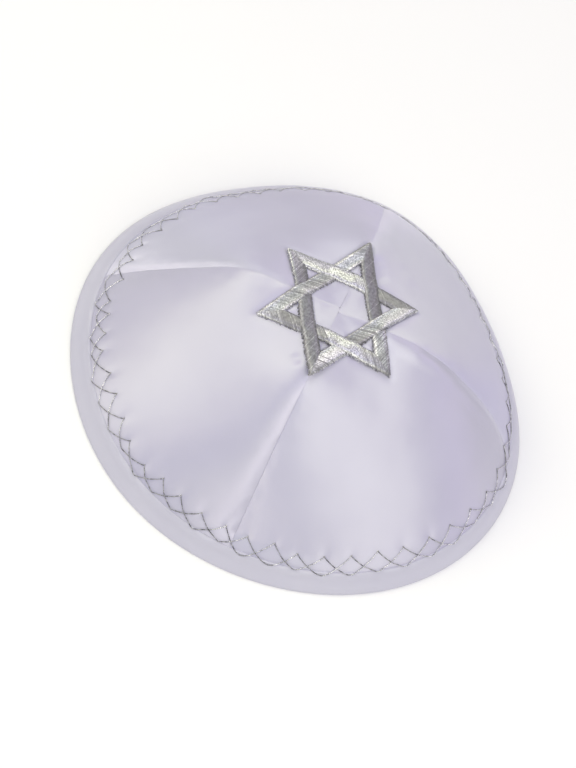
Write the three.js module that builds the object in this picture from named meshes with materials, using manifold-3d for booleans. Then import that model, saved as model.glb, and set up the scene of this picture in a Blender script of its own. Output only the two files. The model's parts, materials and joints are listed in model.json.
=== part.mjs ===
// A kippah skullcap of white satin, in millimetres, standing on its rim with +Z up.
// Four cloth panels meet in seams at the crown, a folded hem band grips their lower edge, and an
// embroidered hexagram lies on the crown. The origin is on the floor, at the middle of the rim's box.
// -Y is the near side of the cap, +X its right.

import * as THREE from 'three';
import { mergeVertices } from 'three/addons/utils/BufferGeometryUtils.js';
import Module from 'manifold-3d';

const wasm = await Module();
wasm.setup();

// Driving sizes of the cap
const FOOT_RADIUS = 81.4; // mean radius at which the panels' outer face would meet the floor
const CLOTH = 1.0; // thickness of a panel, and of each leaf of the hem band
const GAP = 0.3; // clear space between neighbouring pieces
const PANEL_FOOT = 2.6; // climb from the floor, along the wall, at which the panels end

// The four seams run from the crown to the rim, at an azimuth in degrees from +X. Sway is how far, in
// millimetres towards the next seam round, each one wanders halfway down.
const SEAMS = {
  front: { azimuth: -90.5, sway: -0.8 },
  right: { azimuth: 2.9, sway: -1.8 },
  back: { azimuth: 88.3, sway: -0.6 },
  left: { azimuth: 178.5, sway: 0.6 },
};

// The rim isn't a true circle: a share of the mean radius is added for each count of lobes.
const RIM_WAVES = [
  { lobes: 1, cosine: -0.0016, sine: -0.0101 },
  { lobes: 2, cosine: 0.0249, sine: -0.0139 },
  { lobes: 3, cosine: -0.0024, sine: -0.0177 },
  { lobes: 4, cosine: 0.0117, sine: -0.0098 },
  { lobes: 5, cosine: 0.0017, sine: 0.0043 },
];

// Height of the cap's outer face along each seam. Reach is the share of the rim's radius from the
// crown, and dip is how far the middle of a panel lies below the seams at its sides.
const PROFILE = [
  { reach: 0.00, front: 56.0, right: 56.0, back: 56.0, left: 56.0, dip: 0.0 },
  { reach: 0.12, front: 56.6, right: 56.6, back: 56.6, left: 56.6, dip: 0.7 },
  { reach: 0.24, front: 57.1, right: 57.2, back: 57.2, left: 57.2, dip: 2.4 },
  { reach: 0.34, front: 56.8, right: 57.2, back: 57.0, left: 57.1, dip: 4.2 },
  { reach: 0.42, front: 54.6, right: 55.2, back: 54.4, left: 55.0, dip: 5.4 },
  { reach: 0.50, front: 50.2, right: 51.8, back: 50.2, left: 49.8, dip: 6.0 },
  { reach: 0.60, front: 43.2, right: 45.2, back: 43.0, left: 41.0, dip: 5.6 },
  { reach: 0.70, front: 34.8, right: 37.6, back: 35.6, left: 32.2, dip: 4.4 },
  { reach: 0.80, front: 25.0, right: 28.2, back: 26.6, left: 22.8, dip: 2.6 },
  { reach: 0.90, front: 13.0, right: 14.6, back: 14.4, left: 11.8, dip: 0.6 },
  { reach: 1.00, front: 0.0, right: 0.0, back: 0.0, left: 0.0, dip: 0.0 },
];

// Rings of each panel's mesh, as reach, from the crown down to the last one above the foot
const PANEL_RINGS = [0.04, 0.11, 0.18, 0.25, 0.31, 0.37, 0.43, 0.50, 0.58, 0.66, 0.74, 0.82, 0.90];
const PANEL_COLUMNS = 20;

// Section of the hem band: climb along the panels' outer face from the floor, and lift off that face.
// It runs down the outer leaf to the seat and up the inner leaf, then round the slot for the panels.
const HEM_HEIGHT = 11.5;
const HEM_SWELL = 0.15;
const SLOT_FOOT = PANEL_FOOT - GAP;
const HEM_SECTION = [
  { climb: HEM_HEIGHT, lift: GAP },
  { climb: HEM_HEIGHT - 0.3, lift: GAP + CLOTH - 0.1 },
  { climb: 6.0, lift: GAP + CLOTH + HEM_SWELL },
  { climb: 1.6, lift: GAP + CLOTH + HEM_SWELL },
  { climb: 0.0, lift: 1.05 },
  { seat: 0.6 },
  { seat: -1.9 },
  { climb: SLOT_FOOT + 0.3, lift: -GAP - 2 * CLOTH },
  { climb: HEM_HEIGHT, lift: -GAP - 2 * CLOTH },
  { climb: HEM_HEIGHT, lift: -GAP - CLOTH },
  { climb: SLOT_FOOT, lift: -GAP - CLOTH },
  { climb: SLOT_FOOT, lift: GAP },
];
const HEM_STEPS = 96;

// The hexagram of two interlaced triangles on the crown
const STAR_RADIUS = 28.5; // from its middle to the tip of each point
const STAR_TURN = -1.4; // degrees, from a point that lies straight back
const STAR_BAR = 4.5; // width of a bar
const STAR_THICK = 1.1; // height of the stitching
const STAR_RISE = 0.5; // how much higher a bar stands where it passes over another
const STAR_RISE_REACH = 5.0; // distance from a crossing at which that rise has died away
const STAR_STEPS = 18; // steps along each bar

const SATIN = { color: 0xdedbe9, roughness: 0.42, metalness: 0.0 };
const HEM_SATIN = { color: 0xe2e0ee, roughness: 0.40, metalness: 0.0 };
const SILVER_THREAD = { color: 0xb9b9c2, roughness: 0.35, metalness: 0.75 };

const FULL_TURN = 2 * Math.PI;
const radians = (degrees) => (degrees * Math.PI) / 180;
const direction = (azimuth) => new THREE.Vector2(Math.cos(azimuth), Math.sin(azimuth));

function footRadius(azimuth) {
  let share = 1;
  for (const { lobes, cosine, sine } of RIM_WAVES) {
    share += cosine * Math.cos(lobes * azimuth) + sine * Math.sin(lobes * azimuth);
  }
  return FOOT_RADIUS * share;
}

// The crown stands off the origin, because the uneven rim's box is centred on the origin instead.
function findCrown() {
  const low = new THREE.Vector2(Infinity, Infinity);
  const high = new THREE.Vector2(-Infinity, -Infinity);
  for (let step = 0; step < HEM_STEPS; step += 1) {
    const azimuth = (FULL_TURN * step) / HEM_STEPS;
    const edge = direction(azimuth).multiplyScalar(footRadius(azimuth));
    low.min(edge);
    high.max(edge);
  }
  return low.add(high).multiplyScalar(-0.5);
}
const crown = findCrown();

// A smooth curve through one column of the profile table
function profileColumn(name) {
  const slopes = PROFILE.map((row, index) => {
    const before = PROFILE[Math.max(index - 1, 0)];
    const after = PROFILE[Math.min(index + 1, PROFILE.length - 1)];
    return index === 0 ? 0 : (after[name] - before[name]) / (after.reach - before.reach);
  });
  return (reach) => {
    let index = 0;
    while (index < PROFILE.length - 2 && reach > PROFILE[index + 1].reach) {
      index += 1;
    }
    const start = PROFILE[index];
    const end = PROFILE[index + 1];
    const span = end.reach - start.reach;
    const t = (reach - start.reach) / span;
    const t2 = t * t;
    const t3 = t2 * t;
    return (2 * t3 - 3 * t2 + 1) * start[name] + (t3 - 2 * t2 + t) * span * slopes[index]
      + (3 * t2 - 2 * t3) * end[name] + (t3 - t2) * span * slopes[index + 1];
  };
}

const heightAlong = {};
for (const name of ['front', 'right', 'back', 'left', 'dip']) {
  heightAlong[name] = profileColumn(name);
}

// The four panels, each between two seams, in the turn from front to back by the right side
const PANELS = [
  { name: 'panel_front_right', from: 'front', to: 'right' },
  { name: 'panel_back_right', from: 'right', to: 'back' },
  { name: 'panel_back_left', from: 'back', to: 'left' },
  { name: 'panel_front_left', from: 'left', to: 'front' },
];
function seamAzimuth(name, reach) {
  const { azimuth, sway } = SEAMS[name];
  const bow = reach > 0 ? Math.sin(Math.PI * reach) / reach : Math.PI;
  return radians(azimuth) + (sway * bow) / FOOT_RADIUS;
}

// Where a panel starts at a given reach, and the angle that it covers there
function panelSpan(panel, reach) {
  const start = seamAzimuth(panel.from, reach);
  const sweep = (seamAzimuth(panel.to, reach) - start + FULL_TURN) % FULL_TURN;
  return { start, sweep };
}

// Height of the outer face over a place on a panel: share 0 is its first seam and 1 is its second
function panelHeight(panel, share, reach) {
  const blend = (1 - Math.cos(Math.PI * share)) / 2;
  const seams = (1 - blend) * heightAlong[panel.from](reach) + blend * heightAlong[panel.to](reach);
  return seams - heightAlong.dip(reach) * Math.sin(Math.PI * share);
}

function faceHeight(azimuth, reach) {
  for (const panel of PANELS) {
    const { start, sweep } = panelSpan(panel, reach);
    const turn = (azimuth - start + 2 * FULL_TURN) % FULL_TURN;
    if (turn <= sweep) {
      return panelHeight(panel, turn / sweep, reach);
    }
  }
  return heightAlong.front(reach);
}

// A point of the outer face, given its azimuth and reach from the crown
function facePoint(azimuth, reach) {
  const flat = direction(azimuth).multiplyScalar(reach * footRadius(azimuth)).add(crown);
  return new THREE.Vector3(flat.x, flat.y, faceHeight(azimuth, reach));
}

// The outward normal of the face. Close to a seam it is a mean of the two sides.
function faceNormal(azimuth, reach) {
  const turn = 0.01;
  const stretch = 0.004;
  const around = facePoint(azimuth + turn, reach).sub(facePoint(azimuth - turn, reach));
  const down = facePoint(azimuth, Math.min(reach + stretch, 1)).sub(facePoint(azimuth, reach - stretch));
  return down.cross(around).normalize();
}

// The place on the outer face that lies a given climb up the wall from the floor
function wallPlace(azimuth, climb) {
  const step = 0.002;
  let reach = 1;
  let climbed = 0;
  let here = facePoint(azimuth, reach);
  while (climbed < climb) {
    const next = facePoint(azimuth, reach - step);
    const length = next.distanceTo(here);
    const share = Math.min((climb - climbed) / length, 1);
    reach -= step * share;
    climbed += length * share;
    here = next;
  }
  return { point: facePoint(azimuth, reach), normal: faceNormal(azimuth, reach) };
}

// A mesh from its points and the triangles that join them, each seen turning left from outside
function meshFrom(positions, triangles) {
  const geometry = new THREE.BufferGeometry();
  geometry.setAttribute('position', new THREE.Float32BufferAttribute(positions.flatMap((p) => p.toArray()), 3));
  geometry.setIndex(triangles.flat());
  geometry.computeVertexNormals();
  return geometry;
}

// One cloth panel: an outer face from the crown to inside the hem, an inner face a wall's thickness
// below it, and an edge all round. Half a gap stays between its side edges and each seam.
function panelGeometry(panel) {
  const outer = [];
  const inner = [];
  const addPoint = (place) => {
    outer.push(place.point);
    inner.push(place.point.clone().addScaledVector(place.normal, -CLOTH));
  };
  // The edge stays parallel to its seam, so the normal there is laid into the seam's own plane.
  const alongSeam = (normal, azimuth) => {
    const across = new THREE.Vector3(-Math.sin(azimuth), Math.cos(azimuth), 0);
    return normal.addScaledVector(across, -normal.dot(across)).normalize();
  };
  const tip = panelSpan(panel, 0);
  const tipAzimuth = tip.start + tip.sweep / 2;
  const tipReach = ((GAP / 2) * Math.SQRT2) / footRadius(tipAzimuth);
  addPoint({ point: facePoint(tipAzimuth, tipReach), normal: new THREE.Vector3(0, 0, 1) });
  const rings = PANEL_RINGS.length + 1;
  for (let ring = 0; ring < rings; ring += 1) {
    for (let column = 0; column <= PANEL_COLUMNS; column += 1) {
      const reach = PANEL_RINGS[ring] ?? 1;
      const { start, sweep } = panelSpan(panel, reach);
      const share = column / PANEL_COLUMNS;
      const inset = Math.asin(GAP / 2 / (reach * footRadius(start + sweep * share)));
      const azimuth = start + inset + (sweep - 2 * inset) * share;
      const place = ring < PANEL_RINGS.length
        ? { point: facePoint(azimuth, reach), normal: faceNormal(azimuth, reach) }
        : wallPlace(azimuth, PANEL_FOOT);
      if (column === 0) {
        alongSeam(place.normal, start);
      }
      if (column === PANEL_COLUMNS) {
        alongSeam(place.normal, start + sweep);
      }
      addPoint(place);
    }
  }
  const count = outer.length;
  const at = (ring, column) => 1 + ring * (PANEL_COLUMNS + 1) + column;
  const triangles = [];
  const faceBothSides = (a, b, c) => {
    triangles.push([a, b, c], [count + c, count + b, count + a]);
  };
  const border = [0];
  for (let ring = 0; ring < rings; ring += 1) {
    border.push(at(ring, 0));
  }
  for (let column = 1; column <= PANEL_COLUMNS; column += 1) {
    border.push(at(rings - 1, column));
  }
  for (let ring = rings - 2; ring >= 0; ring -= 1) {
    border.push(at(ring, PANEL_COLUMNS));
  }
  for (let column = 0; column < PANEL_COLUMNS; column += 1) {
    faceBothSides(0, at(0, column), at(0, column + 1));
    for (let ring = 0; ring < rings - 1; ring += 1) {
      faceBothSides(at(ring, column), at(ring + 1, column), at(ring + 1, column + 1));
      faceBothSides(at(ring, column), at(ring + 1, column + 1), at(ring, column + 1));
    }
  }
  border.forEach((a, index) => {
    const b = border[(index + 1) % border.length];
    triangles.push([a, count + a, count + b], [a, count + b, b]);
  });
  return meshFrom([...outer, ...inner], triangles);
}

// Rows of points, each a closed section, joined to the next and the last one to the first
function ringGeometry(sections) {
  const size = sections[0].length;
  const triangles = [];
  for (let row = 0; row < sections.length; row += 1) {
    const next = (row + 1) % sections.length;
    for (let index = 0; index < size; index += 1) {
      const other = (index + 1) % size;
      const a = row * size + index;
      const b = row * size + other;
      const c = next * size + other;
      const d = next * size + index;
      triangles.push([a, b, c], [a, c, d]);
    }
  }
  return meshFrom(sections.flat(), triangles);
}

function hemGeometry() {
  const sections = [];
  for (let step = 0; step < HEM_STEPS; step += 1) {
    const azimuth = (FULL_TURN * step) / HEM_STEPS;
    sections.push(HEM_SECTION.map(({ climb, lift, seat }) => {
      if (seat !== undefined) {
        const flat = direction(azimuth).multiplyScalar(footRadius(azimuth) + seat).add(crown);
        return new THREE.Vector3(flat.x, flat.y, 0);
      }
      const { point, normal } = wallPlace(azimuth, climb);
      return point.addScaledVector(normal, lift);
    }));
  }
  return ringGeometry(sections);
}

// A point over the crown, given in plan from the star's middle, and its height off the cloth
function overCrown(flat, lift) {
  const azimuth = Math.atan2(flat.y, flat.x);
  const reach = flat.length() / footRadius(azimuth);
  const point = facePoint(azimuth, reach);
  point.z += lift;
  return point;
}

// One of the star's triangles, as a mitred frame whose bars rise where they pass over the other's.
// Each bar crosses two bars of the other triangle, and passes over the second of them.
function triangleGeometry(firstTip) {
  const outerTips = [];
  const innerTips = [];
  for (let corner = 0; corner < 3; corner += 1) {
    const toTip = direction(radians(firstTip + 120 * corner));
    outerTips.push(toTip.clone().multiplyScalar(STAR_RADIUS));
    innerTips.push(toTip.clone().multiplyScalar(STAR_RADIUS - 2 * STAR_BAR));
  }
  const barLength = outerTips[0].distanceTo(outerTips[1]);
  const overAt = (2 * barLength) / 3;
  const sections = [];
  for (let corner = 0; corner < 3; corner += 1) {
    const next = (corner + 1) % 3;
    for (let step = 0; step < STAR_STEPS; step += 1) {
      const share = step / STAR_STEPS;
      const outer = outerTips[corner].clone().lerp(outerTips[next], share);
      const inner = innerTips[corner].clone().lerp(innerTips[next], share);
      const away = Math.min(Math.abs(share * barLength - overAt) / STAR_RISE_REACH, 1);
      const top = GAP + STAR_THICK + (STAR_RISE * (1 + Math.cos(Math.PI * away))) / 2;
      const across = [0, 1 / 3, 2 / 3, 1].map((part) => inner.clone().lerp(outer, part));
      sections.push([
        ...across.map((flat) => overCrown(flat, top)),
        ...across.reverse().map((flat) => overCrown(flat, GAP)),
      ]);
    }
  }
  return ringGeometry(sections);
}

function toManifold(geometry) {
  const merged = geometry.clone();
  merged.deleteAttribute('normal');
  const closed = mergeVertices(merged, 1e-5);
  const mesh = new wasm.Mesh({
    numProp: 3,
    vertProperties: new Float32Array(closed.attributes.position.array),
    triVerts: new Uint32Array(closed.index.array),
  });
  return new wasm.Manifold(mesh);
}

function fromManifold(manifold) {
  const mesh = manifold.getMesh();
  const geometry = new THREE.BufferGeometry();
  geometry.setAttribute('position', new THREE.Float32BufferAttribute(mesh.vertProperties, 3));
  geometry.setIndex(new THREE.Uint32BufferAttribute(mesh.triVerts, 1));
  geometry.computeVertexNormals();
  return geometry;
}

function starGeometry() {
  const pointingBack = toManifold(triangleGeometry(90 + STAR_TURN));
  const pointingFront = toManifold(triangleGeometry(-90 + STAR_TURN));
  return fromManifold(pointingBack.add(pointingFront));
}

function piece(name, geometry, finish) {
  const mesh = new THREE.Mesh(geometry, new THREE.MeshStandardMaterial(finish));
  mesh.name = name;
  return mesh;
}

const cap = new THREE.Group();
for (const panel of PANELS) {
  cap.add(piece(panel.name, panelGeometry(panel), SATIN));
}
cap.add(piece('hem_band', hemGeometry(), HEM_SATIN));
cap.add(piece('star_embroidery', starGeometry(), SILVER_THREAD));

export default cap;
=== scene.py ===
# %% [markdown]
# # A white satin kippah with silver stitching
#
# A kippah of this kind is sewn from four wedges of satin that meet in a cross at the crown. A folded strip
# of the same satin closes the rim, and two silver threads zigzag along the strip's upper edge, so that they
# cross in a row of small diamonds. A hexagram of padded satin stitches lies on the crown.
#
# The solids of the cap are already made. This lesson dresses them: it builds each piece of cloth and each
# thread as its own mesh, on the same form, and then gives them their finishes, the light and the camera.

# %% Load the solids
import json
import math
import random

import bmesh
import bpy
import numpy as np
from mathutils import Matrix, Vector, noise

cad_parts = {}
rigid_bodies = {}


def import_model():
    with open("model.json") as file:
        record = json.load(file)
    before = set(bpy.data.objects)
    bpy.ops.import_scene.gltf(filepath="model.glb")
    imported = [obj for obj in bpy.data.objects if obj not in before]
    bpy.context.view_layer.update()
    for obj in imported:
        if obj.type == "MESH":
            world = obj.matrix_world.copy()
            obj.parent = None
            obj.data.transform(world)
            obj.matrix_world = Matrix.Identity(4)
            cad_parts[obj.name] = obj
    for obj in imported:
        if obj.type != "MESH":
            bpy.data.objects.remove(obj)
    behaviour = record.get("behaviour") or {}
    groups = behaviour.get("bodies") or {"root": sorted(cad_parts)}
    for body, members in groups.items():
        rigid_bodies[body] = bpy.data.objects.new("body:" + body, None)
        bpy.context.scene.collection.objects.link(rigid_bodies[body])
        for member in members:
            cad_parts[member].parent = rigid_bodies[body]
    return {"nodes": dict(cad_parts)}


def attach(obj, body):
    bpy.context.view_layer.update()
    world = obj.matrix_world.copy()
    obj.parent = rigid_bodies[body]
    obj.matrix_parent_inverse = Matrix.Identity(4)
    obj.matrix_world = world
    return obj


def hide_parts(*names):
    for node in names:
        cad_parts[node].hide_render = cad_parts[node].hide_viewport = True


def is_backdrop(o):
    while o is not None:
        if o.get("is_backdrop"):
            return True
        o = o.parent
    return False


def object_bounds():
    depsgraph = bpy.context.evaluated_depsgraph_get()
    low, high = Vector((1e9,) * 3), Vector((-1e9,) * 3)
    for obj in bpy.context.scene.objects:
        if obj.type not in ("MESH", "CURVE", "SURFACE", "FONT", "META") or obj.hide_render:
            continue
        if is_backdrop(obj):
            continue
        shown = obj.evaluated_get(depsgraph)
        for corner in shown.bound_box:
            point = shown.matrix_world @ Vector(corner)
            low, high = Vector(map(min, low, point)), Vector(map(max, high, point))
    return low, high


for leftover in list(bpy.data.objects):
    bpy.data.objects.remove(leftover)
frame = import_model()
solid_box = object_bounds()
MM = 0.001  # the tables below are in millimetres, and the meshes in metres
print("solids:", sorted(frame["nodes"]))

# %% [markdown]
# ## The camera
#
# The cap is seen from above its front, with the camera rolled to one side. A long lens at 0.7 m gives the
# weak perspective of a product photo. The camera comes first, because it says which surfaces need the most
# care. It looks along a line through the foot of the crown, and a small shift of the lens sets the framing.

# %% Camera
FOCAL_PIXELS = 1930.2
FRAME_PIXELS = 768  # the long side of the picture
SENSOR_MM = 36.0
CAMERA_DISTANCE = 0.700
CAMERA_AZIMUTH = -5.0
CAMERA_ELEVATION = 61.7
CAMERA_ROLL = 28.57
CENTRE_OFFSET_PIXELS = (13.6, 4.9)  # how far right and up the crown's foot lies from the picture's middle


def view_axes(azimuth, elevation):
    """Backward, right and upward directions of a level camera that stands at this angle."""
    a, e = math.radians(azimuth), math.radians(elevation)
    back = Vector((math.sin(a) * math.cos(e), -math.cos(a) * math.cos(e), math.sin(e)))
    right = Vector((math.cos(a), math.sin(a), 0))
    return back, right, back.cross(right)


def add_camera(target):
    back, right, up = view_axes(CAMERA_AZIMUTH, CAMERA_ELEVATION)
    roll = math.radians(CAMERA_ROLL)
    x_axis = right * math.cos(roll) + up * math.sin(roll)
    y_axis = up * math.cos(roll) - right * math.sin(roll)
    data = bpy.data.cameras.new("camera")
    data.sensor_width = SENSOR_MM
    data.lens = FOCAL_PIXELS * SENSOR_MM / FRAME_PIXELS
    data.shift_x = -CENTRE_OFFSET_PIXELS[0] / FRAME_PIXELS
    data.shift_y = -CENTRE_OFFSET_PIXELS[1] / FRAME_PIXELS
    camera = bpy.data.objects.new("camera", data)
    bpy.context.scene.collection.objects.link(camera)
    turned = Matrix((x_axis, y_axis, back)).transposed().to_4x4()
    camera.matrix_world = Matrix.Translation(target + back * CAMERA_DISTANCE) @ turned
    bpy.context.scene.camera = camera
    print(f"lens {data.lens:.1f} mm, shift {data.shift_x:.4f}, {data.shift_y:.4f}")


# %% [markdown]
# ## The form of the cap
#
# Every piece lies on one surface, so that surface is written once, as formulas. A place on it is given by
# its azimuth about the crown and its reach, which is 0 at the crown and 1 at the rim. Four columns of
# heights give the line of each seam, and the panels dip between them. The same sizes made the solids.

# %% Sizes of the form
FOOT_RADIUS = 81.4
CLOTH = 1.0
PANEL_FOOT = 2.6
SEAM_NAMES = ("front", "right", "back", "left")
SEAM_AZIMUTH = {"front": -90.5, "right": 2.9, "back": 88.3, "left": 178.5}
SEAM_SWAY = {"front": -0.8, "right": -1.8, "back": -0.6, "left": 0.6}
RIM_WAVES = (
    # lobes, cosine, sine
    (1, -0.0016, -0.0101),
    (2, 0.0249, -0.0139),
    (3, -0.0024, -0.0177),
    (4, 0.0117, -0.0098),
    (5, 0.0017, 0.0043),
)
PROFILE = {
    "reach": (0.00, 0.12, 0.24, 0.34, 0.42, 0.50, 0.60, 0.70, 0.80, 0.90, 1.00),
    "front": (56.0, 56.6, 57.1, 56.8, 54.6, 50.2, 43.2, 34.8, 25.0, 13.0, 0.0),
    "right": (56.0, 56.6, 57.2, 57.2, 55.2, 51.8, 45.2, 37.6, 28.2, 14.6, 0.0),
    "back": (56.0, 56.6, 57.2, 57.0, 54.4, 50.2, 43.0, 35.6, 26.6, 14.4, 0.0),
    "left": (56.0, 56.6, 57.2, 57.1, 55.0, 49.8, 41.0, 32.2, 22.8, 11.8, 0.0),
    "dip": (0.0, 0.7, 2.4, 4.2, 5.4, 6.0, 5.6, 4.4, 2.6, 0.6, 0.0),
}
FULL_TURN = 2 * math.pi
AZIMUTH_NUDGE = 0.01  # how far to either side the slope of the face is measured
REACH_NUDGE = 0.004
LEAST_REACH = 0.001


# %% Formulas of the form
def foot_radius(azimuth):
    share = 1.0
    for lobes, cosine, sine in RIM_WAVES:
        share = share + cosine * np.cos(lobes * azimuth) + sine * np.sin(lobes * azimuth)
    return FOOT_RADIUS * share


def find_crown():
    """The crown stands off the origin, because the uneven rim's box is centred on the origin."""
    azimuth = np.arange(96) * FULL_TURN / 96
    edge = foot_radius(azimuth) * np.array([np.cos(azimuth), np.sin(azimuth)])
    return -(edge.min(axis=1) + edge.max(axis=1)) / 2


CROWN = find_crown()


def profile(name, reach):
    """A smooth curve through one column of the profile table."""
    x, y = np.array(PROFILE["reach"]), np.array(PROFILE[name])
    slopes = np.zeros(len(x))
    slopes[1:-1] = (y[2:] - y[:-2]) / (x[2:] - x[:-2])
    slopes[-1] = (y[-1] - y[-2]) / (x[-1] - x[-2])
    i = np.clip(np.searchsorted(x, reach, side="right") - 1, 0, len(x) - 2)
    span = x[i + 1] - x[i]
    t = (reach - x[i]) / span
    return (
        (2 * t**3 - 3 * t**2 + 1) * y[i]
        + (t**3 - 2 * t**2 + t) * span * slopes[i]
        + (3 * t**2 - 2 * t**3) * y[i + 1]
        + (t**3 - t**2) * span * slopes[i + 1]
    )


def seam_azimuth(name, reach):
    bow = np.pi * np.sinc(reach)
    return math.radians(SEAM_AZIMUTH[name]) + SEAM_SWAY[name] * bow / FOOT_RADIUS


def seams_beside(azimuth, reach):
    """Index of the panel that covers a place, the share across it, and the angle it spans there."""
    azimuth, reach = np.broadcast_arrays(azimuth, reach)
    index = np.zeros(azimuth.shape, int)
    share = np.zeros(azimuth.shape)
    sweep = np.ones(azimuth.shape)
    for k, name in enumerate(SEAM_NAMES):
        start = seam_azimuth(name, reach)
        wide = (seam_azimuth(SEAM_NAMES[(k + 1) % 4], reach) - start) % FULL_TURN
        turn = (azimuth - start) % FULL_TURN
        here = turn <= wide
        index = np.where(here, k, index)
        share = np.where(here, turn / wide, share)
        sweep = np.where(here, wide, sweep)
    return index, share, sweep


def face_height(azimuth, reach):
    index, share, _ = seams_beside(azimuth, reach)
    columns = np.array([profile(name, reach) + 0 * share for name in SEAM_NAMES])
    first = np.take_along_axis(columns, index[None], axis=0)[0]
    second = np.take_along_axis(columns, (index[None] + 1) % 4, axis=0)[0]
    blend = (1 - np.cos(np.pi * share)) / 2
    return (1 - blend) * first + blend * second - profile("dip", reach) * np.sin(np.pi * share)


def face_point(azimuth, reach):
    """A point of the cap's smooth outer face, in millimetres."""
    out = reach * foot_radius(azimuth)
    x = CROWN[0] + out * np.cos(azimuth)
    y = CROWN[1] + out * np.sin(azimuth)
    return np.stack([x, y, face_height(azimuth, reach)], axis=-1)


def face_normal(azimuth, reach):
    around = face_point(azimuth + AZIMUTH_NUDGE, reach) - face_point(azimuth - AZIMUTH_NUDGE, reach)
    lower, upper = np.minimum(reach + REACH_NUDGE, 1.0), np.maximum(reach - REACH_NUDGE, LEAST_REACH)
    down = face_point(azimuth, lower) - face_point(azimuth, upper)
    normal = np.cross(down, around)
    return normal / np.linalg.norm(normal, axis=-1, keepdims=True)


camera_target = Vector((CROWN[0] * MM, CROWN[1] * MM, 0))
add_camera(camera_target)
print("crown, in mm:", np.round(CROWN, 2))

# %% [markdown]
# ## Climbing the wall
#
# Stitches are placed by how far they lie from the rim, measured along the cloth and not in plan. A table
# of arc lengths, made once, turns that climb back into a reach.

# %% Climb from the floor
CLIMB_STEP = 0.25
CLIMB_TOP = 60.0
AZIMUTH_STEP = math.radians(0.5)
REACH_STEP = 0.002
INMOST_REACH = 0.3  # no stitch is nearer the crown than this


def climb_rows():
    azimuths = np.arange(0, FULL_TURN + AZIMUTH_STEP / 2, AZIMUTH_STEP)
    reaches = np.arange(1.0, INMOST_REACH, -REACH_STEP)
    path = face_point(azimuths[:, None], reaches[None, :])
    lengths = np.linalg.norm(np.diff(path, axis=1), axis=2)
    climbed = np.concatenate([np.zeros((len(azimuths), 1)), np.cumsum(lengths, axis=1)], axis=1)
    climbs = np.arange(0, CLIMB_TOP, CLIMB_STEP)
    reach_rows = np.array([np.interp(climbs, row, reaches) for row in climbed])
    return reach_rows, climbed[:, ::-1], reaches[::-1]


REACH_OF_CLIMB, CLIMB_OF_REACH, REACHES = climb_rows()


def look_up(table, row, column):
    """Reads a table between its rows and columns."""
    i = np.clip(np.floor(row).astype(int), 0, table.shape[0] - 2)
    j = np.clip(np.floor(column).astype(int), 0, table.shape[1] - 2)
    r, c = np.clip(row - i, 0, 1), np.clip(column - j, 0, 1)
    upper = table[i, j] * (1 - c) + table[i, j + 1] * c
    lower = table[i + 1, j] * (1 - c) + table[i + 1, j + 1] * c
    return upper * (1 - r) + lower * r


def reach_at(azimuth, climb):
    return look_up(REACH_OF_CLIMB, (azimuth % FULL_TURN) / AZIMUTH_STEP, climb / CLIMB_STEP)


def climb_at(azimuth, reach):
    column = (reach - REACHES[0]) / (REACHES[1] - REACHES[0])
    return look_up(CLIMB_OF_REACH, (azimuth % FULL_TURN) / AZIMUTH_STEP, column)


print("climb to reach 0.5 at the front, in mm:", round(float(climb_at(np.array(-1.58), np.array(0.5))), 1))

# %% [markdown]
# ## Where the hem stitches turn
#
# Each silver thread runs in a zigzag. Its inner corners are sharp, where the needle goes through, and lie
# on the panels. Its outer corners are loose and round, and lie at the folded strip's edge. The two threads
# run half a step apart, so there is one inner and one outer corner at each of 52 places round the rim. The
# spacing is uneven: a few anchors give the azimuth of some corners, and the rest lie between them.

# %% Corners of the hem stitches
CORNER_COUNT = 52
CORNER_ANCHORS = ((0, 187.2), (3, 202.5), (10, 251.4), (15, 287.8), (24, 353.6), (47, 514.5), (52, 547.2))
INNER_CLIMB = 15.6
OUTER_CLIMB = 8.9
CLIMB_SPREAD = 0.8
HIGH_STRETCH = {"azimuth": 172.0, "width": 19.0, "inner": 3.2, "outer": 2.0}  # where the row wanders up

stitch_random = random.Random(52)
corner_numbers, corner_degrees = np.array(CORNER_ANCHORS).T
CORNER_AZIMUTH = np.radians(
    [
        np.interp(k, corner_numbers, corner_degrees) + stitch_random.uniform(-0.5, 0.5)
        for k in range(CORNER_COUNT)
    ]
)
CORNER_INNER = np.array([INNER_CLIMB + stitch_random.gauss(0, CLIMB_SPREAD) for _ in range(CORNER_COUNT)])
CORNER_OUTER = np.array([OUTER_CLIMB + stitch_random.gauss(0, CLIMB_SPREAD) for _ in range(CORNER_COUNT)])
turn_from_stretch = (np.degrees(CORNER_AZIMUTH) - HIGH_STRETCH["azimuth"] + 180) % 360 - 180
stretch_share = np.exp(-((turn_from_stretch / HIGH_STRETCH["width"]) ** 2))
CORNER_INNER += HIGH_STRETCH["inner"] * stretch_share
CORNER_OUTER += HIGH_STRETCH["outer"] * stretch_share
print("corner pitch, in mm:", round(FULL_TURN * FOOT_RADIUS / CORNER_COUNT, 1))

# %% [markdown]
# ## The hexagram's lines
#
# The star is two triangles of padded bars, woven so that each bar passes over one neighbour and under the
# other. In plan a bar is a strip between two tips, cut off at the ends where it meets the next one.

# %% Sizes of the star
STAR_RADIUS = 28.45
STAR_TURN = -1.4
STAR_BAR = 4.5
STAR_RISE = 0.5
STAR_RISE_REACH = 5.0
STAR_DROP = 0.3
BAR_LENGTH = STAR_RADIUS * math.sqrt(3)
MITRE = math.sqrt(3)  # how far a bar's end retreats for each millimetre across it
STAR_SHIFT = np.array([0.1, 0.5])
STAR_TIPS = [
    STAR_SHIFT + STAR_RADIUS * np.array([math.cos(a), math.sin(a)])
    for a in (math.radians(90 + STAR_TURN + 60 * k) for k in range(6))
]


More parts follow.
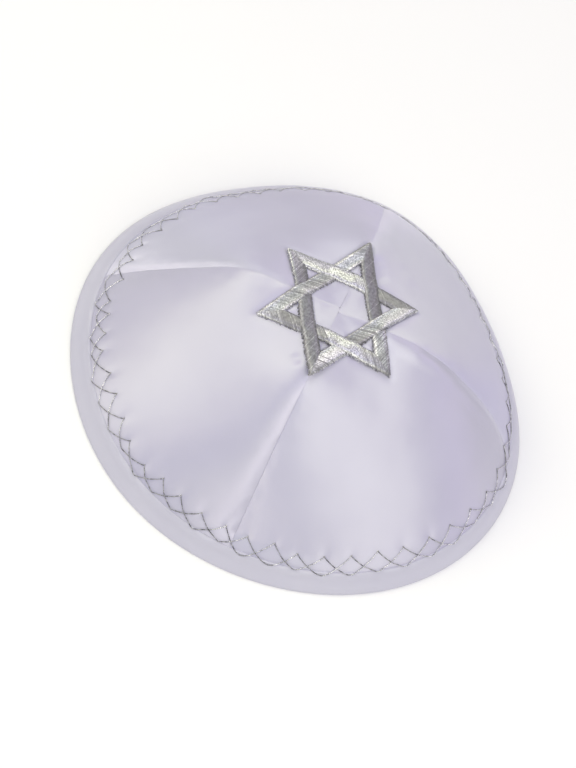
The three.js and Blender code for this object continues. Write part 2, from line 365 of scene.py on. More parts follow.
def bar_axes(k):
    """Start, direction along and direction across, towards the middle, of the bar from tip k to tip k + 2."""
    start, end = STAR_TIPS[k % 6], STAR_TIPS[(k + 2) % 6]
    along = (end - start) / BAR_LENGTH
    return start, along, np.array([-along[1], along[0]])


def across_bar(flat, k):
    """How far a point in plan lies inside the outer edge of bar k."""
    start, _, inward = bar_axes(k)
    return (flat - start) @ inward


def along_bar(flat, k):
    start, along, _ = bar_axes(k)
    return (flat - start) @ along


def outside_star(flat):
    """Distance in plan from the star's stitches, 0 under them."""
    nearest = np.full(flat.shape[:-1], np.inf)
    for k in range(6):
        across, along = across_bar(flat, k), along_bar(flat, k)
        beside = np.maximum(np.maximum(-across, across - STAR_BAR), 0)
        middle = np.clip(across, 0, STAR_BAR)
        past = np.maximum(np.maximum(middle * MITRE - along, along - BAR_LENGTH + middle * MITRE), 0)
        nearest = np.minimum(nearest, np.hypot(beside, past))
    return nearest


print("bar length, in mm:", round(BAR_LENGTH, 1))

# %% [markdown]
# ## Relief of the cloth
#
# Satin shows every small change of slope, so the panels aren't left smooth. Each seam pulls the cloth into
# a shallow valley, and the folded allowance pressed to one side of it makes a low ridge there. Stitches
# pull dimples into the cloth, at the corners of the zigzags and round the star. Slow waves do the rest.

# %% Relief of the panels
SEAM_GROOVE = 0.02
SEAM_GROOVE_WIDTH = 0.32
VALLEY_WIDTH_AT_CROWN = 1.5
VALLEY_FADE = (9.0, 15.0)  # climbs between which the valleys deepen
VALLEY_START = (0.08, 0.3)  # reaches between which they deepen from the crown
VALLEYS = {
    # depth at the seam, and how much wider at the rim, on the panel before the seam and on the one after it
    "front": (2.10, 6.0, 30.0),
    "right": (0.85, 8.0, 8.0),
    "back": (0.50, 8.0, 8.0),
    "left": (0.50, 8.0, 8.0),
}
ALLOWANCES = {
    # height, and distances of the crest and the foot from the seam, on the panel before it
    "front": (0.10, 5.0, 12.0),
    "right": (0.36, 2.6, 7.5),
    "back": (0.20, 3.0, 9.0),
    "left": (0.20, 3.0, 9.0),
}
ALLOWANCE_CREST = 0.4  # width of the crest
ALLOWANCE_START = (0.03, 0.12)  # reaches between which the allowances rise
PUCKER_HEIGHT = 0.10
PUCKER_LENGTH = 4.0
PUCKER_WIDTH = 5.0  # how far from a seam the cloth puckers
STAR_PULL = 0.35
STAR_PULL_REACH = 1.6
CORNER_PULL = 0.4
CORNER_PULL_REACH = 1.5
CORNER_WIDENING = 6.0  # distance over which a pucker doubles its width
TRAIL_UP = 3.5  # how fast the puckers die away above the inner corners
TRAIL_DOWN = -1.6  # and below the outer ones
WAVE_HEIGHT = 0.13
WAVE_LENGTH = 22.0
RIPPLE_HEIGHT = 0.03
RIPPLE_LENGTH = 6.0
HEM_CLEAR = (8.8, 10.8)  # climbs between which the relief grows, above the folded strip
NOISE_SPREAD = 1.6  # brings Blender's noise to about -1 to 1
DIMPLES = (
    # azimuth, distance from the crown, depth, width
    (-106.0, 24.2, 0.6, 2.0),
    (76.0, 24.8, 0.45, 1.7),
    (70.0, 23.2, 0.45, 1.7),
    (64.0, 21.8, 0.45, 1.7),
    (76.0, 35.0, -0.35, 3.0),
    (66.0, 33.5, -0.40, 3.0),
    (55.0, 32.5, -0.35, 3.0),
    (-42.0, 33.0, 0.3, 6.0),
    (150.0, 34.0, 0.3, 6.0),
)


def smooth_step(low, high, value):
    t = np.clip((value - low) / (high - low), 0, 1)
    return t * t * (3 - 2 * t)


def bell(distance, width):
    return np.exp(-((distance / width) ** 2))


def noise_over(points, length, seed):
    """Smooth noise, about -1 to 1, over an array of points in millimetres."""
    flat = points.reshape(-1, 3) / length + seed
    return np.array([noise.noise(p) for p in flat.tolist()]).reshape(points.shape[:-1]) * NOISE_SPREAD


def of_seams(table, index):
    """The values that a table of seams gives for one seam or for an array of them."""
    return np.array([table[name] for name in SEAM_NAMES]).T[:, index]


def seam_relief(from_first, from_second, index, reach, climb, points):
    """The dip along both edges of a panel, and the pressed allowance beside its second edge."""
    second = (index + 1) % 4
    first_depth, _, first_width = of_seams(VALLEYS, index)
    second_depth, second_width, _ = of_seams(VALLEYS, second)
    valley = first_depth * np.exp(-from_first / (VALLEY_WIDTH_AT_CROWN + first_width * reach**2))
    valley = valley + second_depth * np.exp(-from_second / (VALLEY_WIDTH_AT_CROWN + second_width * reach**2))
    valley = valley * smooth_step(*VALLEY_START, reach) * smooth_step(*VALLEY_FADE, climb)
    nearest = np.minimum(from_first, from_second)
    groove = SEAM_GROOVE * bell(nearest, SEAM_GROOVE_WIDTH)
    rise, crest, foot = of_seams(ALLOWANCES, second)
    past_crest = smooth_step(crest + ALLOWANCE_CREST, foot, from_second)
    ridge = smooth_step(0.0, crest, from_second) * (1 - past_crest)
    allowance = rise * ridge * smooth_step(*ALLOWANCE_START, reach)
    pucker = PUCKER_HEIGHT * noise_over(points, PUCKER_LENGTH, seed=11.0) * bell(nearest, PUCKER_WIDTH)
    return allowance + pucker - groove - valley


def star_relief(flat):
    pull = -STAR_PULL * bell(outside_star(flat), STAR_PULL_REACH)
    for azimuth, distance, depth, width in DIMPLES:
        a = math.radians(azimuth)
        centre = distance * np.array([math.cos(a), math.sin(a)])
        pull = pull - depth * bell(np.linalg.norm(flat - centre, axis=-1), width)
    return pull


def corner_relief(azimuth, climb, corner_climbs, trail):
    """Dimples where the needle goes in, each with a pucker that dies away upwards or downwards."""
    pull = np.zeros(np.shape(azimuth))
    for corner, height in zip(CORNER_AZIMUTH, corner_climbs):
        turn = (azimuth - corner + math.pi) % FULL_TURN - math.pi
        beside = turn * FOOT_RADIUS
        above = (climb - height) * np.sign(trail)
        tail = np.where(above > 0, np.exp(-above / abs(trail)), bell(above, CORNER_PULL_REACH))
        width = CORNER_PULL_REACH * (1 + np.maximum(above, 0) / CORNER_WIDENING)
        pull = pull - bell(beside, width) * tail
    return CORNER_PULL * pull


def cloth_relief(azimuth, reach, points, index, share, width):
    """How far the cloth of a panel stands off the smooth face, in millimetres."""
    climb = climb_at(azimuth, reach)
    lift = seam_relief(share * width, (1 - share) * width, index, reach, climb, points)
    lift = lift + star_relief(points[..., :2] - CROWN)
    lift = lift + corner_relief(azimuth, climb, CORNER_INNER, TRAIL_UP)
    lift = lift + WAVE_HEIGHT * noise_over(points, WAVE_LENGTH, seed=3.0)
    lift = lift + RIPPLE_HEIGHT * noise_over(points, RIPPLE_LENGTH, seed=7.0)
    return lift * smooth_step(*HEM_CLEAR, climb)


def panel_relief(azimuth, reach):
    """The same relief for any place on the cap."""
    azimuth, reach = np.broadcast_arrays(azimuth, reach)
    index, share, sweep = seams_beside(azimuth, reach)
    width = sweep * reach * foot_radius(azimuth)
    return cloth_relief(azimuth, reach, face_point(azimuth, reach), index, share, width)


# %% [markdown]
# ## From a flat slab to a panel of cloth
#
# A panel is woven flat, so it starts as a flat grid with a second layer under it. Its corners are then
# moved onto the cap: one direction of the grid runs across the panel from seam to seam, the other from the
# crown to the rim, and the lower layer becomes the inside. The grid is finer next to the seams. The flat
# grid also gives each point its place on the cloth, which the weave follows later.


# %% Helpers that make pieces
def flat_slab(columns, rows):
    """A closed slab with x and y from 0 to 1, its outer layer at z 0 and its inner one at z -1."""
    bm = bmesh.new()
    bmesh.ops.create_grid(bm, x_segments=columns, y_segments=rows, size=0.5)
    bmesh.ops.translate(bm, verts=bm.verts, vec=(0.5, 0.5, 0))
    bmesh.ops.solidify(bm, geom=bm.faces[:], thickness=1.0)
    return bm


def show_mesh(name, mesh):
    mesh.shade_smooth()
    piece = bpy.data.objects.new(name, mesh)
    bpy.context.scene.collection.objects.link(piece)
    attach(piece, "root")
    return piece


def add_piece(name, bm, material):
    mesh = bpy.data.meshes.new(name)
    bm.to_mesh(mesh)
    bm.free()
    mesh.materials.append(material)
    return show_mesh(name, mesh)


def corners_of(bm):
    return np.array([v.co for v in bm.verts])


def move_corners(bm, points):
    for v, point in zip(bm.verts, points):
        v.co = point * MM


def write_cloth_map(bm, cloth):
    """Keeps each point's place on the flat cloth, in metres, as the UV map that the weave follows."""
    layer = bm.loops.layers.uv.new("cloth")
    for face in bm.faces:
        for loop in face.loops:
            loop[layer].uv = cloth[loop.vert.index]


def finish_mesh(bm):
    bmesh.ops.remove_doubles(bm, verts=bm.verts[:], dist=1e-7)
    bmesh.ops.dissolve_degenerate(bm, edges=bm.edges[:], dist=1e-7)
    bmesh.ops.recalc_face_normals(bm, faces=bm.faces[:])


probe = flat_slab(4, 4)
print("slab layers at z:", sorted({round(v.co.z, 3) for v in probe.verts}))
print("closed:", all(e.is_manifold for e in probe.edges))
probe.free()

# %% [markdown]
# ## Effects that the finishes share
#
# Several finishes use the same two effects, so each is a node group with named sockets. One draws the weave,
# as long floats that lie across the panel and break up at random. The other draws soft patches of any size:
# large ones tint the satin and the floor, and tiny ones are painted glints along a metallic thread.


# %% Node helpers
def new_group(name, inputs, outputs):
    """A shader node group with its named sockets, and the nodes that hold its inputs and outputs."""
    group = bpy.data.node_groups.new(name, "ShaderNodeTree")
    for socket, kind, default in inputs:
        made = group.interface.new_socket(name=socket, in_out="INPUT", socket_type=kind)
        if default is not None:
            made.default_value = default
    for socket, kind in outputs:
        group.interface.new_socket(name=socket, in_out="OUTPUT", socket_type=kind)
    return group, group.nodes.new("NodeGroupInput"), group.nodes.new("NodeGroupOutput")


def new_node(tree, kind, **settings):
    node = tree.nodes.new(kind)
    for key, value in settings.items():
        setattr(node, key, value)
    return node


def set_inputs(node, **values):
    for key, value in values.items():
        node.inputs[key.replace("_", " ")].default_value = value


def place_group(tree, group, **values):
    node = new_node(tree, "ShaderNodeGroup", node_tree=group)
    set_inputs(node, **values)
    return node


def new_finish(name, **values):
    """A material with its node tree and its Principled shader, which takes the given values."""
    material = bpy.data.materials.new(name)
    material.use_nodes = True
    shader = material.node_tree.nodes["Principled BSDF"]
    set_inputs(shader, **values)
    return material, material.node_tree, shader


# %% Shared effects
THREADS_PER_METRE = 7000.0
FLOAT_SHARE = 0.07  # a float's width over its length


def make_weave():
    """Long floats: noise drawn out along the cloth's second direction."""
    group, given, result = new_group(
        "satin weave",
        [("Vector", "NodeSocketVector", None), ("Threads per metre", "NodeSocketFloat", THREADS_PER_METRE)],
        [("Height", "NodeSocketFloat"), ("Shine", "NodeSocketFloat")],
    )
    split = new_node(group, "ShaderNodeSeparateXYZ")
    along = new_node(group, "ShaderNodeMath", operation="MULTIPLY")
    along.inputs[1].default_value = FLOAT_SHARE
    join = new_node(group, "ShaderNodeCombineXYZ")
    scaled = new_node(group, "ShaderNodeVectorMath", operation="SCALE")
    floats = new_node(group, "ShaderNodeTexNoise", noise_dimensions="2D")
    set_inputs(floats, Scale=1.0, Detail=1.0, Roughness=0.6)
    link = group.links.new
    link(given.outputs["Vector"], split.inputs[0])
    link(split.outputs["Y"], along.inputs[0])
    link(split.outputs["X"], join.inputs["X"])
    link(along.outputs[0], join.inputs["Y"])
    link(join.outputs[0], scaled.inputs[0])
    link(given.outputs["Threads per metre"], scaled.inputs["Scale"])
    link(scaled.outputs[0], floats.inputs["Vector"])
    link(floats.outputs["Fac"], result.inputs["Height"])
    link(floats.outputs["Fac"], result.inputs["Shine"])
    return group


def make_mottling():
    """Soft patches of the given size, as a mask from 0 to 1."""
    group, given, result = new_group(
        "mottling",
        [("Vector", "NodeSocketVector", None), ("Size", "NodeSocketFloat", 0.03)],
        [("Mask", "NodeSocketFloat")],
    )
    invert = new_node(group, "ShaderNodeMath", operation="DIVIDE")
    invert.inputs[0].default_value = 1.0
    scaled = new_node(group, "ShaderNodeVectorMath", operation="SCALE")
    patches = new_node(group, "ShaderNodeTexNoise", noise_dimensions="3D")
    set_inputs(patches, Scale=1.0, Detail=2.0, Roughness=0.5)
    spread = new_node(group, "ShaderNodeMapRange", interpolation_type="SMOOTHSTEP")
    set_inputs(spread, From_Min=0.3, From_Max=0.7)
    link = group.links.new
    link(given.outputs["Vector"], scaled.inputs[0])
    link(given.outputs["Size"], invert.inputs[1])
    link(invert.outputs[0], scaled.inputs["Scale"])
    link(scaled.outputs[0], patches.inputs["Vector"])
    link(patches.outputs["Fac"], spread.inputs["Value"])
    link(spread.outputs["Result"], result.inputs["Mask"])
    return group


WEAVE = make_weave()
MOTTLING = make_mottling()


def colour_in_patches(tree, shader, size, light, deep):
    """Mixes two tones in soft patches of the given size, in metres, over the piece's own coordinates."""
    place = new_node(tree, "ShaderNodeTexCoord")
    patches = place_group(tree, MOTTLING, Size=size)
    tone = new_node(tree, "ShaderNodeMix", data_type="RGBA")
    tone.inputs["A"].default_value = (*deep, 1)
    tone.inputs["B"].default_value = (*light, 1)
    tree.links.new(place.outputs["Object"], patches.inputs["Vector"])
    tree.links.new(patches.outputs["Mask"], tone.inputs["Factor"])
    tree.links.new(tone.outputs["Result"], shader.inputs["Base Color"])


# %% [markdown]
# ## Satin
#
# White satin is a plain cloth seen through its own gloss. Its floats lie side by side, so light spreads
# across them far more than along them, and the highlights turn into streaks that run from the crown to the
# rim. The Principled shader's anisotropy does that, with its tangent taken from the cloth's own map.


# %% Satin finish
SATIN_PATCH = 0.028
GLOSS_SPREAD = 0.05  # how much rougher or smoother single floats are


def make_satin(name, light, deep, roughness, metallic):
    material, tree, shader = new_finish(name, Anisotropic=0.95, Metallic=metallic, Specular_IOR_Level=0.6)
    set_inputs(shader, Sheen_Weight=0.15, Sheen_Roughness=0.4)
    colour_in_patches(tree, shader, SATIN_PATCH, light, deep)
    cloth = new_node(tree, "ShaderNodeUVMap", uv_map="cloth")
    weave = place_group(tree, WEAVE, Threads_per_metre=THREADS_PER_METRE)
    gloss = new_node(tree, "ShaderNodeMapRange")
    set_inputs(gloss, To_Min=roughness - GLOSS_SPREAD, To_Max=roughness + GLOSS_SPREAD)
    bump = new_node(tree, "ShaderNodeBump")
    set_inputs(bump, Strength=0.25, Distance=0.00004)
    tangent = new_node(tree, "ShaderNodeTangent", direction_type="UV_MAP", uv_map="cloth")
    link = tree.links.new
    link(cloth.outputs["UV"], weave.inputs["Vector"])
    link(weave.outputs["Shine"], gloss.inputs["Value"])
    link(gloss.outputs["Result"], shader.inputs["Roughness"])
    link(weave.outputs["Height"], bump.inputs["Height"])
    link(bump.outputs["Normal"], shader.inputs["Normal"])
    link(tangent.outputs["Tangent"], shader.inputs["Tangent"])
    return material


PANEL_SATIN = make_satin("white satin", (0.700, 0.683, 0.807), (0.670, 0.652, 0.782), 0.53, 0.45)
# The folded strip's satin is given a darker colour than the panels', though it is the same cloth.
HEM_SATIN = make_satin("white satin, folded", (0.635, 0.624, 0.728), (0.615, 0.604, 0.713), 0.55, 0.12)

# %% [markdown]
# ## The four panels
#
# At the crown the seams don't quite meet in a point. The one from front to back was sewn last and runs
# straight through, and the side seams, sewn before it, meet it about 2 mm apart.

# %% Build the panels
CROWN_SLIDE = 0.95
CROWN_SLIDE_REACH = 8.0
CROWN_FLAT = 0.05  # reach within which the cloth is lifted straight up
PANEL_COLUMNS = 200
PANEL_ROWS = 128
EDGE_FINENESS = 0.72
EDGE_INSET = 0.005
FOOT_START = 0.82  # reach from which the rows lean towards the panel's foot
PANEL_NAMES = ("front_right", "back_right", "back_left", "front_left")
PANEL_SLIDES = (-1, -1, 1, 1)  # the panels right of the front-to-back seam slide forwards


def row_reaches(v):
    """Reach of each row, with rows evenly spaced along the cloth."""
    reaches = np.linspace(0, 1, 400)
    heights = np.mean([profile(name, reaches) for name in SEAM_NAMES], axis=0)
    lengths = np.hypot(np.diff(reaches) * FOOT_RADIUS, np.diff(heights))
    travelled = np.concatenate([[0], np.cumsum(lengths)])
    return np.interp(v * travelled[-1], travelled, reaches), travelled[-1]


def panel_places(k, across, down):
    """Points and normals of panel k, and each point's place on the flat cloth."""
    share = across - EDGE_FINENESS * np.sin(FULL_TURN * across) / FULL_TURN
    reach, length = row_reaches(down)
    start = seam_azimuth(SEAM_NAMES[k], reach)
    sweep = (seam_azimuth(SEAM_NAMES[(k + 1) % 4], reach) - start) % FULL_TURN
    out = reach * foot_radius(start + share * sweep)
    inset = np.minimum(EDGE_INSET / np.maximum(out, 1e-6), sweep / 4)
    azimuth = start + inset + (sweep - 2 * inset) * share
    foot = reach_at(azimuth, np.full(azimuth.shape, PANEL_FOOT))
    low = reach > FOOT_START
    reach = np.where(low, FOOT_START + (reach - FOOT_START) * (foot - FOOT_START) / (1 - FOOT_START), reach)
    out = reach * foot_radius(azimuth)
    back = math.radians(SEAM_AZIMUTH["back"])
    slide = CROWN_SLIDE * PANEL_SLIDES[k] * bell(out, CROWN_SLIDE_REACH)
    x = out * np.cos(azimuth) + slide * math.cos(back)
    y = out * np.sin(azimuth) + slide * math.sin(back)
    slid_azimuth = np.arctan2(y, x)
    slid_reach = np.hypot(x, y) / foot_radius(slid_azimuth)
    points = face_point(slid_azimuth, slid_reach)
    normals = face_normal(slid_azimuth, slid_reach)
    slope = smooth_step(0.0, CROWN_FLAT, reach)[:, None]
    normals = normals * slope + np.array([0, 0, 1]) * (1 - slope)
    normals /= np.linalg.norm(normals, axis=1, keepdims=True)
    lift = cloth_relief(azimuth, reach, points, k, share, sweep * out)
    cloth = np.stack([down * length, (share - 0.5) * sweep * out], axis=1) * MM
    return points, normals, lift, cloth


def build_panel(k):
    first, second = SEAM_NAMES[k], SEAM_NAMES[(k + 1) % 4]
    node = "panel_" + PANEL_NAMES[k]
    bm = flat_slab(PANEL_COLUMNS, PANEL_ROWS)
    grid = corners_of(bm)
    points, normals, lift, cloth = panel_places(k, grid[:, 0], 1 - grid[:, 1])
    lift = lift - np.where(grid[:, 2] > -0.5, 0, CLOTH)
    move_corners(bm, points + normals * lift[:, None])
    write_cloth_map(bm, cloth)
    finish_mesh(bm)
    area = sum(f.calc_area() for f in bm.faces) / 2
    piece = add_piece("satin_" + node, bm, PANEL_SATIN)
    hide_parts(node)
    print(f"{piece.name}: from the {first} seam to the {second} seam, {area * 1e4:.1f} cm2 of cloth")
    return piece, area


panels = [build_panel(k) for k in range(4)]

# %% [markdown]
# ## The folded hem band
#
# A strip of satin is folded in half round the panels' lower edge. Its outer leaf is a soft roll that the
# stitches press flat towards its upper edge, and its inner leaf lies against the inside of the cap. One
# closed section is drawn for each place round the rim. A grid is bent onto these sections, and its two ends
# and two sides are joined.

# %% Build the hem band
HEM_COLUMNS = 840
HEM_EDGE = 9.0  # climb of the outer leaf's upper edge
HEM_LIFT = {
    "climb": (0.0, 0.9, 2.2, 4.0, 5.4, 6.5, 7.4, 8.1, 8.6, 8.8, HEM_EDGE),
    "lift": (1.05, 1.30, 1.48, 1.55, 1.48, 1.30, 1.04, 0.78, 0.56, 0.32, -0.06),
}
HEM_SMOOTHING = (-0.3, -0.15, 0, 0.15, 0.3)  # climbs over which the lifts are averaged
HEM_CRISP = 0.5  # the last stretch below the edge isn't averaged
HEM_OUTER_CLIMBS = np.concatenate([np.linspace(HEM_EDGE, 8.3, 8), np.linspace(8.0, 1.2, 22)])
# Steps out from the rim line, and heights
HEM_FOLD = ((1.12, 0.78), (1.02, 0.36), (0.72, 0.10), (0.2, 0.0), (-0.6, 0.0), (-1.3, 0.03), (-1.75, 0.30))
# Climbs and lifts, up the inside and down again round the panel's edge
HEM_INNER_LEAF = ((2.8, -2.3), (4.5, -2.3), (6.5, -2.3), (8.5, -2.3), (10.5, -2.3), (11.3, -2.2), (11.5, -1.85))
HEM_SLOT_INSIDE = ((11.3, -1.4), (8.0, -1.35), (5.0, -1.35), (2.5, -1.3), (2.2, -0.5))
HEM_SLOT_OUTSIDE = ((2.5, 0.22), (5.0, 0.2), (7.0, 0.12), (8.6, -0.14))
HEM_WAVE_HEIGHT = 0.12
HEM_WAVE_LENGTH = 14.0
HEM_RIPPLE_HEIGHT = 0.05
HEM_RIPPLE_LENGTH = 4.5
HEM_RELIEF_START = (0.8, 2.5)  # climbs between which the relief grows, and then fades
HEM_RELIEF_END = (HEM_EDGE - 1.3, HEM_EDGE - 0.2)


def hem_lift(climb):
    """A smooth curve through the lifts of the outer leaf."""
    x, y = HEM_LIFT["climb"], HEM_LIFT["lift"]
    near = [np.interp(climb + shift, x, y) for shift in HEM_SMOOTHING]
    return np.where(climb > HEM_EDGE - HEM_CRISP, np.interp(climb, x, y), np.mean(near, axis=0))


def hem_relief(azimuth, climb):
    """Dimples and short puckers where the outer corners of the zigzags pull the roll in."""
    points = face_point(azimuth, reach_at(azimuth, climb))
    lift = corner_relief(azimuth, climb, CORNER_OUTER, TRAIL_DOWN)
    lift = lift + HEM_WAVE_HEIGHT * noise_over(points, HEM_WAVE_LENGTH, seed=5.0)
    lift = lift + HEM_RIPPLE_HEIGHT * noise_over(points, HEM_RIPPLE_LENGTH, seed=9.0)
    return lift * smooth_step(*HEM_RELIEF_START, climb) * (1 - smooth_step(*HEM_RELIEF_END, climb))


def hem_section(azimuth):
    """The closed section of the band at each azimuth, as points in millimetres."""
    outside = []
    for climb in HEM_OUTER_CLIMBS:
        level = np.full(azimuth.shape, climb)
        outside.append(wall_point(azimuth, level, hem_lift(level) + hem_relief(azimuth, level)))
    fold = [rim_point(azimuth, out, up) for out, up in HEM_FOLD]
    inside = [
        wall_point(azimuth, np.full(azimuth.shape, climb), lift)
        for climb, lift in HEM_INNER_LEAF + HEM_SLOT_INSIDE + HEM_SLOT_OUTSIDE
    ]
    return np.stack(outside + fold + inside, axis=1)


def wall_point(azimuth, climb, lift):
    """A point over the cloth, a given climb up the wall and a given lift off it."""
    reach = reach_at(azimuth, climb)
    return face_point(azimuth, reach) + face_normal(azimuth, reach) * np.asarray(lift)[..., None]


def rim_point(azimuth, out, up):
    """A point near the floor, a given distance outside the rim line and a given height."""
    radius = foot_radius(azimuth) + out
    x, y = CROWN[0] + radius * np.cos(azimuth), CROWN[1] + radius * np.sin(azimuth)
    return np.stack([x, y, np.full(np.shape(azimuth), up)], axis=-1)


def build_hem():
    azimuth = np.arange(HEM_COLUMNS + 1) * FULL_TURN / HEM_COLUMNS
    section = hem_section(azimuth)
    count = section.shape[1]
    lengths = np.linalg.norm(np.diff(section, axis=1), axis=2).mean(axis=0)
    travelled = np.concatenate([[0], np.cumsum(lengths)])
    bm = bmesh.new()
    bmesh.ops.create_grid(bm, x_segments=HEM_COLUMNS, y_segments=count, size=0.5)
    grid = corners_of(bm) + 0.5
    column = np.rint(grid[:, 0] * HEM_COLUMNS).astype(int)
    row = np.rint(grid[:, 1] * count).astype(int)
    move_corners(bm, section[column, row % count])
    cloth = np.stack([azimuth[column] * FOOT_RADIUS, np.append(travelled, travelled[-1])[row]], axis=1)
    write_cloth_map(bm, cloth * MM)
    finish_mesh(bm)
    piece = add_piece("satin_hem_band", bm, HEM_SATIN)
    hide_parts("hem_band")
    return piece


hem = build_hem()
print("hem band triangles:", sum(len(p.vertices) - 2 for p in hem.data.polygons))

# %% [markdown]
# ## Threads as swept strands
#
# A thread is a round section drawn along a line. Blender's curves do exactly that, with a bevel for the
# section, and each spline may have its own finish, so one object holds hundreds of stitches. The curve is
# turned into a mesh at the end, as every piece here is.


# %% Strand helper
def add_strands(name, strands, radius, bevel, materials):
    """Strands are pairs of a line of points, in millimetres, and the index of the finish it takes."""
    curve = bpy.data.curves.new(name, "CURVE")
    curve.dimensions = "3D"
    curve.bevel_depth = radius * MM
    curve.bevel_resolution = bevel
    curve.use_fill_caps = True
    for material in materials:
        curve.materials.append(material)
    for line, finish in strands:
        spline = curve.splines.new("POLY")
        spline.points.add(len(line) - 1)
        places = np.concatenate([np.asarray(line) * MM, np.ones((len(line), 1))], axis=1)
        spline.points.foreach_set("co", places.ravel())
        spline.material_index = finish
    drawn = bpy.data.objects.new(name + "_lines", curve)
    mesh = bpy.data.meshes.new_from_object(drawn)
    bpy.data.objects.remove(drawn)
    bpy.data.curves.remove(curve)
    return show_mesh(name, mesh)


# %% [markdown]
# ## Silver thread
#
# Metallic embroidery thread is a foil wound round a core, so it glints in short dashes and is nearly black
# between them; here those glints are painted into the thread's colour. Three finishes, a painted highlight,
# a painted half shade and a painted shade, are mixed along the bars of the star, and two more, lit and
# shaded, are for the zigzags.


# %% Thread finishes
def make_thread(name, light, deep, roughness, dash):
    """Thread with glints painted into its colour, in dashes of the given length, in metres."""
    material, tree, shader = new_finish(name, Metallic=0.85, Roughness=roughness)
    colour_in_patches(tree, shader, dash, light, deep)
    return material


# The star's three finishes are a painted highlight, a painted half shade and a painted shade.
PAINTED_HIGHLIGHT_THREAD = make_thread("silver thread, painted highlight", (0.98, 0.98, 0.99), (0.42, 0.42, 0.43), 0.30, 0.0005)
PAINTED_HALF_SHADE_THREAD = make_thread("silver thread, painted half shade", (0.66, 0.66, 0.67), (0.38, 0.38, 0.39), 0.36, 0.0006)
PAINTED_SHADE_THREAD = make_thread("silver thread, painted shade", (0.44, 0.435, 0.45), (0.29, 0.285, 0.295), 0.40, 0.0008)
# The zigzags' finishes are a lit and a shaded copy of one thread: painted highlight and painted shade.
LIT_THREAD = make_thread("silver thread, twisted, lit", (1.0, 1.0, 1.0), (0.50, 0.50, 0.52), 0.22, 0.0012)
SHADED_THREAD = make_thread(
    "silver thread, twisted, shaded", (0.64, 0.64, 0.65), (0.13, 0.13, 0.14), 0.30, 0.0012
)
STAR_THREADS = [PAINTED_HIGHLIGHT_THREAD, PAINTED_HALF_SHADE_THREAD, PAINTED_SHADE_THREAD]
ZIGZAG_THREADS = [LIT_THREAD, SHADED_THREAD]

# %% [markdown]
# ## The zigzag stitches
#
# Each silver thread is two plies twisted together. Its line is drawn on the cloth first, from corner to
# corner, with a hairpin at the inner corners. Then the plies are wound round that line. The foil lies at a
# slant, so the legs that run one way shine and the legs that cross them look dark; that shine and that dark
# are painted, as a lit and a shaded finish. On the far side, where the light comes from behind, every leg
# takes the lit finish, a painted highlight.

# %% Build the zigzags
PLY_RADIUS = 0.105
PLY_OFFSET = 0.095
PLY_STEP = 0.2
TWIST_PITCH = 1.5
LEG_POINTS = 18
LEG_CURVE = 0.5  # 0 for straight legs, 1 for legs that come round into a full arc
CORNER_SOFTENING = 3  # how many times the line is relaxed
HAIRPIN = 0.6
HAIRPIN_HALF_WIDTH = 0.12
HAIRPIN_LIFTS = (0.05, -0.05, -0.05, 0.05)
CROSSING_RISE = 0.28
CROSSING_PLACE = 0.45  # share of a leg at which it crosses the other thread
CROSSING_WIDTH = 0.16
SKIN_BLEND = (HEM_EDGE - 0.3, HEM_EDGE + 0.9)  # climbs between which the thread leaves the strip
SLACK = 0.16
LIT_WAY = math.radians(66)  # the way that the legs with the painted highlight run, in plan
SHADED_WAY = math.radians(-20)
FAR_SIDE = 35.0  # further back than this, in Y, every leg takes the lit finish, a painted highlight


def skin_lift(azimuth, climb):
    """Lift of whatever the thread lies on: the hem band's leaf, or the panel above it."""
    on_hem = hem_lift(np.minimum(climb, HEM_EDGE - 0.4)) + hem_relief(azimuth, climb)
    on_panel = panel_relief(azimuth, reach_at(azimuth, climb))
    share = smooth_step(*SKIN_BLEND, climb)
    return on_hem * (1 - share) + on_panel * share


def zigzag_line(first):
    """Azimuths, climbs and extra lifts along one thread, whose inner corners start at the given place."""
    azimuths, climbs, lifts = [], [], []
    phase = np.arange(LEG_POINTS) / LEG_POINTS
    for k in range(CORNER_COUNT):
        here, after = CORNER_AZIMUTH[k], CORNER_AZIMUTH[(k + 1) % CORNER_COUNT]
        step = (after - here) % FULL_TURN
        inner_first = (k - first) % 2 == 0
        inner = CORNER_INNER[k if inner_first else (k + 1) % CORNER_COUNT]
        outer = CORNER_OUTER[(k + 1) % CORNER_COUNT if inner_first else k]
        outward = phase if inner_first else 1 - phase
        bow = (1 - LEG_CURVE) * outward + LEG_CURVE * np.sin(np.pi / 2 * outward)
        azimuth = here + step * phase
        climb = inner + (outer - inner) * bow
        lift = SLACK * np.sin(np.pi * phase) ** 2
        if (k + first) % 2 == 0:
            lift = lift + CROSSING_RISE * bell(phase - CROSSING_PLACE, CROSSING_WIDTH)
        if inner_first:
            half = HAIRPIN_HALF_WIDTH / FOOT_RADIUS
            azimuth = np.concatenate([[here - half, here - half, here + half, here + half], azimuth[1:]])
            climb = np.concatenate([[inner, inner + HAIRPIN, inner + HAIRPIN, inner], climb[1:]])
            lift = np.concatenate([HAIRPIN_LIFTS, lift[1:]])
        azimuths.append(azimuth)
        climbs.append(climb)
        lifts.append(lift)
    return np.concatenate(azimuths), np.concatenate(climbs), np.concatenate(lifts)


def evenly(line, step):
    """The same line with its points a given distance apart."""
    lengths = np.linalg.norm(np.diff(line, axis=0), axis=1)
    travelled = np.concatenate([[0], np.cumsum(lengths)])
    places = np.linspace(0, travelled[-1], int(travelled[-1] / step) + 1)
    return np.stack([np.interp(places, travelled, line[:, i]) for i in range(3)], axis=1), places


def relaxed(line, times):
    """The same line with its corners eased."""
    for _ in range(times):
        line[1:-1] = (line[:-2] + 2 * line[1:-1] + line[2:]) / 4
    return line


